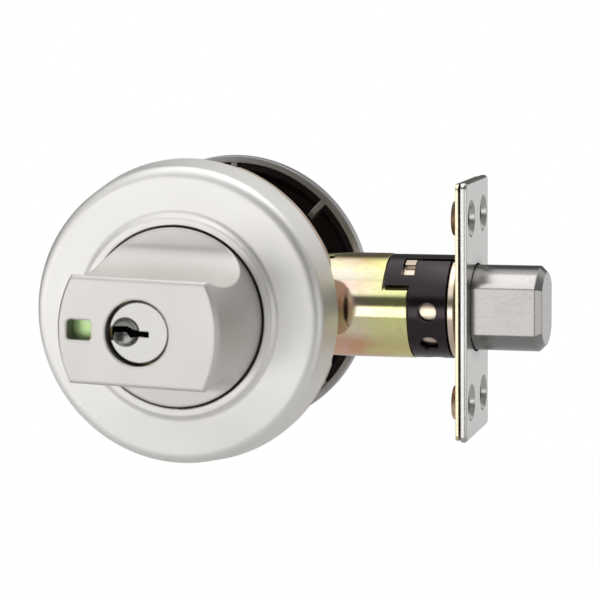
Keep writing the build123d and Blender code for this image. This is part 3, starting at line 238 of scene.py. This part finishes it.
def passivated_zinc(name, plain, roughness, strength, front=FILM_STRAW):
    """Passivated zinc: a film that runs from pink to straw and green over the plain colour.

    The bands follow height on the tube, and their lightness is partly painted highlight and painted
    shade.
    strength is the film's share, and front its tint near the sleeve.
    """
    material, f = new_finish(name)
    place = f.place()
    x, y, z = f.axes(place)
    drift = f.noise(f.vector(x * 40, y * 120, z * 120), 1.0, 3.0, 0.55)
    fine = f.noise(place, 900.0, 3.0, 0.6)
    height = z * FILM_RISE + 0.375 + drift * 0.25
    # Film tints by height, partly painted light: painted highlight bands, painted shade at the top
    # edge and underside.
    film_and_shade = f.node("ShaderNodeValToRGB", {"stops": FILM_AND_LIGHT_BANDS}, {0: height})
    patch = f.noise(f.vector(x * 90, y * 140, z * 140), 1.0, 2.0)
    film_and_shade = f.blend(patch.between(0.50, 0.66) * 0.8, film_and_shade, FILM_PINK)
    moss = f.noise(f.vector(x * 110 + 7, y * 160, z * 160), 1.0, 3.0)
    film_and_shade = f.blend(moss.between(0.50, 0.64) * 0.6, film_and_shade, FILM_MOSS)
    film_and_shade = f.blend((x + drift * 0.012).between(*SLEEVE_REAR) * 0.75, film_and_shade, front)
    film_and_shade = f.blend(x.between(*PLATE_REAR), film_and_shade, FILM_CREAM)
    tone = f.blend(strength, plain, film_and_shade)
    tone = f.blend(fine.between(0.55, 0.8) * 0.3, tone, shade(plain, 0.5))
    soft = f.rounded(0.0003)
    edge_band = f.edges(soft)
    # Edges painted pale cream: partly wear, partly a painted highlight.
    tone = f.blend(edge_band * 0.6, tone, ZINC_EDGE_WEAR_AND_HIGHLIGHT)
    # Painted shade: darker deep in corners and hollows.
    tone = f.blend(f.crevices(0.003) * 0.6, tone, shade(plain, 0.12))
    f.surface({
        "Base Color": tone,
        "Metallic": 1.0,
        "Roughness": roughness + (fine - 0.5) * 0.12 + (drift - 0.5) * 0.08,
        "Normal": f.bump(fine, 0.00001, 0.5, soft),
    })
    return material


def black_coat(name, colour, roughness, gloss):
    """Dark coat with a faint violet sheen, worn to bare metal on its edges."""
    material, f = new_finish(name)
    place = f.place()
    fine = f.noise(place, 2400.0, 3.0, 0.6)
    cloud = f.noise(place, 120.0, 4.0, 0.6)
    soft = f.rounded(0.00025)
    edge_band = f.edges(soft)
    tone = f.blend(cloud, shade(colour, 0.6), shade(colour, 1.5))
    tone = f.blend(edge_band * fine.between(0.35, 0.65) * 0.55, tone, RUBBED_BLACK)
    f.surface({
        "Base Color": tone,
        "Specular IOR Level": gloss,
        "Specular Tint": (1.0, 0.82, 0.88, 1.0),
        "Roughness": roughness + (fine - 0.5) * 0.18 + (cloud - 0.5) * 0.10,
        "Normal": f.bump(fine, 0.000015, 0.5, soft),
    })
    return material


def moulded_plastic(name, colour, roughness):
    """Moulded plastic with a fine texture and slight sink marks."""
    material, f = new_finish(name)
    place = f.place()
    fine = f.noise(place, 3000.0, 2.0)
    cloud = f.noise(place, 140.0, 3.0)
    corner_shade = f.crevices(0.001)
    tone = f.blend(cloud, shade(colour, 0.88), shade(colour, 1.1))
    # Painted shade: darker in corners.
    tone = f.blend(corner_shade * 0.4, tone, shade(colour, 0.4))
    f.surface({
        "Base Color": tone,
        "Roughness": roughness + (fine - 0.5) * 0.2,
        "Normal": f.bump(fine + cloud * 2, 0.00001, 0.5, f.rounded(0.0003)),
    })
    return material


def foil(name, colour, pale):
    """Coloured foil with pale streaks along the slide."""
    material, f = new_finish(name)
    place = f.place()
    x, y, z = f.axes(place)
    streak = f.noise(f.vector(x * 260, y * 200, z * 2600), 1.0, 3.0, 0.6)
    fine = f.noise(place, 2600.0, 2.0)
    tone = f.blend(streak.between(0.5, 0.72), colour, pale)
    tone = f.blend(fine.between(0.5, 0.8) * 0.3, tone, shade(colour, 0.7))
    f.surface({
        "Base Color": tone,
        "Metallic": 0.5,
        "Roughness": 0.35 + (streak - 0.5) * 0.2,
        "Coat Weight": 0.15 * fine,
        "Normal": f.bump(streak, 0.00002, 0.4, f.rounded(0.0002)),
    })
    return material


def colour_property(label, words, default):
    return FloatVectorProperty(
        name=label, description=words, default=default, subtype="COLOR", size=3, min=0.0, max=1.0
    )


class DeadboltFinishes(PropertyGroup):
    """Colours and surfaces of the lock's own pieces."""

    knob: colour_property("Knob", "Satin plate on the turn knob", (0.78, 0.757, 0.729))
    rose: colour_property("Inside rose", "Satin plate on the room-side rose", (0.96, 0.945, 0.915))
    outer: colour_property("Outer rose", "Satin plate on the street-side rose", (0.56, 0.56, 0.56))
    plug: colour_property("Key plug", "Nickel plate on the plugs", (0.42, 0.411, 0.397))
    steel: colour_property("Stainless", "Brushed faceplate", (0.54, 0.53, 0.51))
    bolt: colour_property("Bolt", "Satin plate on the bolt", (0.325, 0.315, 0.305))
    brass: colour_property("Brass", "Bare machined brass", (0.74, 0.57, 0.27))
    zinc: colour_property("Yellow zinc", "Bolt tube, case and fixings", (0.70, 0.58, 0.24))
    pale: colour_property("Pale zinc", "Front tube and hidden plates", (0.76, 0.67, 0.57))
    green: colour_property("Green field", "Foil that shows when unlocked", (0.66, 0.96, 0.40))
    red: colour_property("Red field", "Foil that shows when locked", (0.60, 0.05, 0.04))
    black: colour_property("Black coat", "Backset sleeve and rose liner", (0.005, 0.0035, 0.0045))
    satin: FloatProperty(
        name="Satin", description="Roughness of the plated faces",
        default=0.38, min=0.05, max=1.0, subtype="FACTOR",
    )
    film_and_shade: FloatProperty(
        name="Film", description="Strength of the zinc's colour bands",
        default=0.85, min=0.0, max=1.0, subtype="FACTOR",
    )


class DeadboltStudio(PropertyGroup):
    """Camera and light."""

    azimuth: FloatProperty(
        name="Azimuth", description="Camera's turn about the lock",
        default=math.radians(15.166), subtype="ANGLE",
    )
    elevation: FloatProperty(
        name="Elevation", description="Camera's height above level",
        default=math.radians(7.289), subtype="ANGLE",
    )
    roll: FloatProperty(
        name="Roll", description="Camera's turn about its line of sight",
        default=math.radians(-0.582), subtype="ANGLE",
    )
    distance: FloatProperty(
        name="Distance", description="From the aim to the camera",
        default=0.532397, unit="LENGTH",
    )
    lens: FloatProperty(
        name="Lens", description="Focal length on a 36 mm frame",
        default=143.675, unit="CAMERA",
    )
    aim_x: FloatProperty(
        name="Aim along bolt", description="Aim, along the bolt",
        default=0.019921, unit="LENGTH",
    )
    aim_z: FloatProperty(
        name="Aim height", description="Aim, above the bolt",
        default=0.000592, unit="LENGTH",
    )
    floor: FloatProperty(
        name="Floor", description="Height of the floor",
        default=-0.10, unit="LENGTH",
    )
    key: FloatProperty(
        name="Key light", description="Power of the soft key light",
        default=0.4, unit="POWER",
    )
    strip: FloatProperty(
        name="Strip light", description="Power of the strip over the bolt",
        default=0.03, unit="POWER",
    )


class DEADBOLT_OT_knob_and_roses(Operator):
    """Satin plate on the knob and both roses"""

    bl_idname = "deadbolt.knob_and_roses"
    bl_label = "Knob and roses"

    def execute(self, context):
        look = context.scene.deadbolt_finishes
        # Wide reach: the knob's side is painted darker towards the rose, a painted contact shadow.
        knob = satin_metal(
            "knob_satin_plate", look.knob, look.satin + 0.12, "blast",
            depth=0.35, contrast=0.05, edge=0.0009, reach=0.014, corner_shade_strength=0.5,
        )
        dress(knob, "turn_knob")
        rose = satin_metal(
            "rose_satin_plate", look.rose, look.satin + 0.14, "rings", depth=0.35, contrast=0.04
        )
        dress(rose, "inner_rose")
        outer = satin_metal(
            "outer_rose_plate", look.outer, look.satin + 0.05, "rings", depth=0.6, corner_shade_strength=0.25
        )
        dress(outer, "outer_rose")
        liner = black_coat("liner_nylon", look.black, 0.45, gloss=0.4)
        dress(liner, "rose_liner")
        return {"FINISHED"}


class DEADBOLT_OT_key_cylinders(Operator):
    """Nickel plugs, brass barrels and the small pieces inside them"""

    bl_idname = "deadbolt.key_cylinders"
    bl_label = "Key cylinders"

    def execute(self, context):
        look = context.scene.deadbolt_finishes
        plug = satin_metal(
            "plug_face", look.plug, 0.26, "rings", depth=0.9, contrast=0.30, corner_shade_strength=0.15
        )
        dress(plug, "knob_key_plug", "outer_key_plug")
        brass = satin_metal("machined_brass", look.brass, 0.28, "rings", depth=0.6, contrast=0.12)
        bright = satin_metal(
            "spring_wire", (0.58, 0.58, 0.57), 0.25, "blast", depth=0.4, contrast=0.08
        )
        for side in ("knob", "outer"):
            for piece in ("cylinder_housing", "key_pins", "driver_pins", "spring_cover"):
                dress(brass, f"{side}_{piece}")
            dress(bright, f"{side}_pin_springs", f"{side}_plug_clip")
        return {"FINISHED"}


class DEADBOLT_OT_indicator(Operator):
    """Indicator slide with its green and red fields"""

    bl_idname = "deadbolt.indicator"
    bl_label = "Indicator"

    def execute(self, context):
        look = context.scene.deadbolt_finishes
        dress(foil("green_foil", look.green, pale=(0.85, 0.98, 0.72)), "green_flag")
        dress(foil("red_foil", look.red, pale=(0.85, 0.40, 0.35)), "red_flag")
        nylon = moulded_plastic("white_nylon", (0.80, 0.79, 0.76), 0.45)
        dress(nylon, "indicator_slide", "knob_bush")
        return {"FINISHED"}


class DEADBOLT_OT_bolt_tubes(Operator):
    """Passivated tubes, the back plate and the black backset sleeve"""

    bl_idname = "deadbolt.bolt_tubes"
    bl_label = "Bolt tubes"

    def execute(self, context):
        look = context.scene.deadbolt_finishes
        rear = passivated_zinc("tube_zinc", look.zinc, 0.10, strength=look.film_and_shade)
        dress(rear, "latch_tube")
        front = passivated_zinc(
            "pale_zinc", look.pale, 0.22, strength=0.45, front=(0.80, 0.62, 0.46)
        )
        dress(front, "front_tube")
        plate = passivated_zinc(
            "plate_zinc", look.pale, 0.30, strength=0.8, front=(0.62, 0.36, 0.24)
        )
        dress(plate, "back_plate")
        sleeve = black_coat("sleeve_oxide", look.black, 0.20, gloss=0.5)
        dress(sleeve, "backset_sleeve")
        return {"FINISHED"}


class DEADBOLT_OT_bolt_and_faceplate(Operator):
    """Brushed faceplate and the plated bolt"""

    bl_idname = "deadbolt.bolt_and_faceplate"
    bl_label = "Bolt and faceplate"

    def execute(self, context):
        look = context.scene.deadbolt_finishes
        # Strong corner darkening: the countersinks are painted dark deep down, painted shade.
        stainless = satin_metal(
            "brushed_stainless", look.steel, 0.22, "upright",
            depth=1.0, contrast=0.5, reach=0.006, corner_shade_strength=0.95,
        )
        dress(stainless, "faceplate")
        bolt = satin_metal(
            "bolt_plate", look.bolt, 0.19, "along bolt", depth=1.0, contrast=0.42
        )
        dress(bolt, "bolt")
        return {"FINISHED"}


class DEADBOLT_OT_works(Operator):
    """Hub, case, tails, screws and fixings inside the door"""

    bl_idname = "deadbolt.works"
    bl_label = "Works"

    def execute(self, context):
        look = context.scene.deadbolt_finishes
        mounting = passivated_zinc("mounting_zinc", look.pale, 0.60, strength=0.25)
        dress(mounting, "inner_mounting_plate")
        zinc = passivated_zinc("fixing_zinc", look.zinc, 0.32, strength=0.6)
        dress(
            zinc, "through_bolts", "case_cheek_room_side", "case_cheek_street_side",
            "cylinder_retainer", "bolt_tail",
        )
        steel = satin_metal("machined_steel", (0.54, 0.54, 0.53), 0.30, "blast", depth=0.6)
        dress(
            steel, "lock_cam", "lock_cam_screws", "outer_tail", "outer_tail_screws",
            "knob_hub_screws", "knob_tail", "tail_pin", "drive_pin", "tail_rivets",
            "anti_saw_pins", "retainer_screws", "case_rivets",
        )
        spring = satin_metal(
            "spring_strip", (0.50, 0.50, 0.50), 0.26, "blast", depth=0.4, contrast=0.08
        )
        dress(spring, "wave_washer", "knob_circlip", "detent_spring")
        cast = satin_metal(
            "cast_zinc", (0.56, 0.56, 0.55), 0.45, "blast", depth=0.9, contrast=0.12
        )
        dress(cast, "knob_hub", "bolt_hub")
        return {"FINISHED"}


def white_backdrop(f, lit, seen, mirrored):
    """White by these shares to the camera and in reflections, and lit as it is for the rest."""
    path = f.node("ShaderNodeLightPath")
    outputs = path.socket.node.outputs
    camera_ray, glossy_ray = [Wire(f, outputs[name]) for name in ("Is Camera Ray", "Is Glossy Ray")]
    mask = camera_ray * seen + glossy_ray * mirrored
    white = f.node("ShaderNodeEmission", sockets={"Color": (1, 1, 1, 1), "Strength": 1.0})
    return f.node("ShaderNodeMixShader", sockets={0: mask, 1: lit, 2: white})


class DEADBOLT_OT_studio(Operator):
    """Pale floor, soft light and the camera"""

    bl_idname = "deadbolt.studio"
    bl_label = "Studio"

    def execute(self, context):
        scene = context.scene
        studio = scene.deadbolt_studio
        scene.view_settings.view_transform = "Standard"
        self.floor(scene, studio)
        self.world(scene)
        upper_left = Vector((-0.45, -0.75, 0.75))
        self.lamp(scene, "key_softbox", upper_left, Vector(), (0.7, 0.7), studio.key)
        over_sleeve = Vector((0.042, -0.03, 0.157))
        sleeve = Vector((0.042, -0.03, 0))
        self.lamp(scene, "bolt_strip", over_sleeve, sleeve, (0.04, 0.15), studio.strip)
        self.camera(scene, studio)
        return {"FINISHED"}

    def floor(self, scene, studio):
        left, right, front, back = -0.5, 0.5, -0.3, 0.35
        corners = [(left, front), (right, front), (right, back), (left, back)]
        mesh = bpy.data.meshes.new("floor")
        mesh.from_pydata([(x, y, studio.floor) for x, y in corners], [], [(0, 1, 2, 3)])
        plane = bpy.data.objects.new("floor", mesh)
        scene.collection.objects.link(plane)
        material, f = new_finish("floor_paper")
        paper = f.noise(f.place(), 300.0, 3.0)
        tone = f.blend(paper, (0.68, 0.68, 0.68), (0.72, 0.72, 0.72))
        lit = f.node("ShaderNodeBsdfDiffuse", sockets={"Color": tone})
        backdrop = white_backdrop(f, lit, seen=0.99, mirrored=0.1)
        f.node("ShaderNodeOutputMaterial", sockets={"Surface": backdrop})
        mesh.materials.append(material)

    def world(self, scene):
        """The room that the metal mirrors. The camera sees plain white."""
        world = bpy.data.worlds.new("studio")
        world.use_nodes = True
        scene.world = world
        f = Finish(world.node_tree)
        x, y, z = f.axes(f.node("ShaderNodeTexCoord", out="Generated"))
        seen = f.node("ShaderNodeLightPath", out="Is Camera Ray")
        # In front: a lit table, softboxes above it and a dark side on the right.
        side = x.between(-0.08, 0.24) * (1 - x.between(0.75, 0.92))
        softbox = z.between(0.36, 0.52) * 0.82 + z.between(0.8, 0.97) * 0.25
        table = 1 - z.between(-0.02, 0.10) - (1 - z.between(-0.9, -0.3)) * 0.4
        facing = (0.10 + softbox + table * 1.92) * (1 - side * 0.93)
        # Behind: a dim room with a bright ceiling, and a window on the right beside a dark shelf.
        shelf = 1 - z.between(-0.03, 0.16) * (1 - x.between(0.2, 0.4))
        window = x.between(0.0, 0.14) * (1 - x.between(0.5, 0.75) * 0.7) * shelf
        rear = 0.13 + z.between(0.60, 0.90) * 1.15 + window * 0.75
        level = rear + (facing - rear) * (0 - y).between(-0.15, 0.35)
        level = level * (1 - seen) + seen
        light = f.node("ShaderNodeBackground", sockets={"Color": (1, 1, 1, 1), "Strength": level})
        f.node("ShaderNodeOutputWorld", sockets={"Surface": light})

    def lamp(self, scene, name, place, aim, size, power):
        data = bpy.data.lights.new(name, "AREA")
        data.shape = "RECTANGLE"
        data.size, data.size_y = size
        data.energy = power
        lamp = bpy.data.objects.new(name, data)
        lamp.location = place
        lamp.rotation_euler = (aim - lamp.location).to_track_quat("-Z", "Y").to_euler()
        scene.collection.objects.link(lamp)

    def camera(self, scene, studio):
        az, el, roll = studio.azimuth, studio.elevation, studio.roll
        back = Vector((math.sin(az) * math.cos(el), -math.cos(az) * math.cos(el), math.sin(el)))
        level = Vector((0, 0, 1)).cross(back).normalized()
        rise = back.cross(level)
        right = level * math.cos(roll) + rise * math.sin(roll)
        up = rise * math.cos(roll) - level * math.sin(roll)
        data = bpy.data.cameras.new("camera")
        data.sensor_width = 36.0
        data.lens = studio.lens
        data.clip_start = 0.01
        camera = bpy.data.objects.new("camera", data)
        turn = Matrix((right, up, back)).transposed().to_4x4()
        spot = Vector((studio.aim_x, 0, studio.aim_z)) + back * studio.distance
        camera.matrix_world = Matrix.Translation(spot) @ turn
        scene.collection.objects.link(camera)
        scene.camera = camera


STEPS = (
    DEADBOLT_OT_knob_and_roses,
    DEADBOLT_OT_key_cylinders,
    DEADBOLT_OT_indicator,
    DEADBOLT_OT_bolt_tubes,
    DEADBOLT_OT_bolt_and_faceplate,
    DEADBOLT_OT_works,
    DEADBOLT_OT_studio,
)


class DEADBOLT_PT_panel(Panel):
    """The lock's finishes and studio"""

    bl_idname = "DEADBOLT_PT_panel"
    bl_label = "Deadbolt"
    bl_space_type = "VIEW_3D"
    bl_region_type = "UI"
    bl_category = "Deadbolt"

    def draw(self, context):
        for group in (context.scene.deadbolt_finishes, context.scene.deadbolt_studio):
            box = self.layout.box()
            for name in group.bl_rna.properties.keys():
                if name not in {"rna_type", "name"}:
                    box.prop(group, name)
        for step in STEPS:
            self.layout.operator(step.bl_idname)


CLASSES = (DeadboltFinishes, DeadboltStudio, *STEPS, DEADBOLT_PT_panel)


def register():
    for each in CLASSES:
        bpy.utils.register_class(each)
    bpy.types.Scene.deadbolt_finishes = PointerProperty(type=DeadboltFinishes)
    bpy.types.Scene.deadbolt_studio = PointerProperty(type=DeadboltStudio)


def unregister():
    del bpy.types.Scene.deadbolt_studio
    del bpy.types.Scene.deadbolt_finishes
    for each in reversed(CLASSES):
        bpy.utils.unregister_class(each)


def main():
    register()
    for step in STEPS:
        group, name = step.bl_idname.split(".")
        getattr(getattr(bpy.ops, group), name)()


if __name__ == "__main__":
    main()
